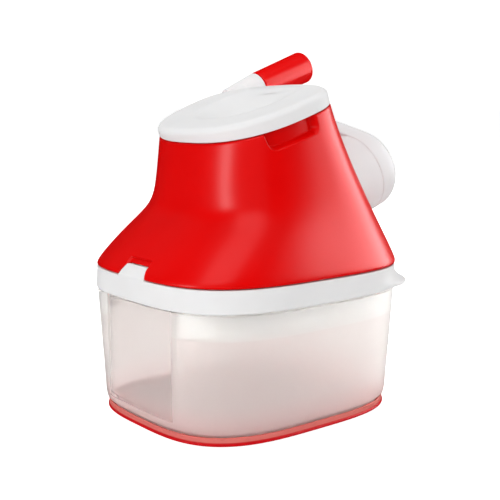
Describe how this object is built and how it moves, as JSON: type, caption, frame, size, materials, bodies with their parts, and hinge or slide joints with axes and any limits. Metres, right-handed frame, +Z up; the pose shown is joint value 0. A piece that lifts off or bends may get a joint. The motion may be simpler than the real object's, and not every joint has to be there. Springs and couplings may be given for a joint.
{
  "type": "rotary cheese grater",
  "caption": "Hand-cranked cheese grater: red head with feed chute, pusher lid and tilted steel drum on a frosted tub, with a side crank and a turning grip.",
  "frame": {"origin": "centre of the base, on the surface it stands on", "axes": "+Z up; +X towards the crank; +Y towards the grip at rest"},
  "size_m": [0.2228, 0.1894, 0.2123],
  "materials": {
    "red": "satin moulded",
    "red_base": "translucent moulded, satin",
    "grip_red": "satin moulded",
    "white": "satin moulded",
    "crank_white": "satin moulded",
    "frosted": "frosted translucent polypropylene",
    "seal": "soft silicone",
    "steel": "turned",
    "grater_steel": "brushed"
  },
  "bodies": {
    "tub": {"base_ring": "red_base", "container": "frosted"},
    "collar": {"collar": "white", "collar_seal": "seal"},
    "head": {"housing": "red", "feed_chute": "red", "drum_cradle": "red"},
    "pusher": {"pusher_lid": "white", "pusher_plunger": "white", "press_plate": "white"},
    "drum": {"drum_sleeve": "grater_steel", "drum_front_ring": "white", "drum_rear_cap": "white"},
    "crank_mount": {"bearing_ring": "white"},
    "crank": {"crank": "crank_white", "hub_cover": "crank_white", "hub_retainer": "steel", "drive_spindle": "steel", "spindle_screw": "steel", "grip_axle": "steel", "grip_screw": "steel", "grip_washer": "steel"},
    "grip": {"grip_sleeve": "grip_red", "grip_cap": "grip_red"}
  },
  "joints": [
    {"name": "collar_lift", "type": "slide", "parent": "tub", "child": "collar", "axis": [0, 0, 1], "range_m": [0, 0.05]},
    {"name": "head_lift", "type": "slide", "parent": "collar", "child": "head", "axis": [0, 0, 1], "range_m": [0, 0.05]},
    {"name": "pusher_lift", "type": "slide", "parent": "head", "child": "pusher", "axis": [-0.3256, 0, 0.9455], "range_m": [0, 0.06]},
    {"name": "crank_release", "type": "slide", "parent": "head", "child": "crank_mount", "axis": [0.9455, 0, 0.3256], "range_m": [0, 0.06]},
    {"name": "crank_turn", "type": "hinge", "parent": "crank_mount", "child": "crank", "pos_m": [0.06313, 0, 0.1238], "axis": [0.9455, 0, 0.3256], "continuous": true},
    {"name": "drum_turn", "type": "hinge", "parent": "head", "child": "drum", "pos_m": [0.01586, 0, 0.10752], "axis": [0.9455, 0, 0.3256], "continuous": true},
    {"name": "grip_spin", "type": "hinge", "parent": "crank", "child": "grip", "pos_m": [0.10389, 0.10621, 0.18974], "axis": [0.9455, 0, 0.3256], "continuous": true}
  ],
  "couplings": [
    {"joint": "drum_turn", "follows": "crank_turn", "ratio": 1}
  ]
}
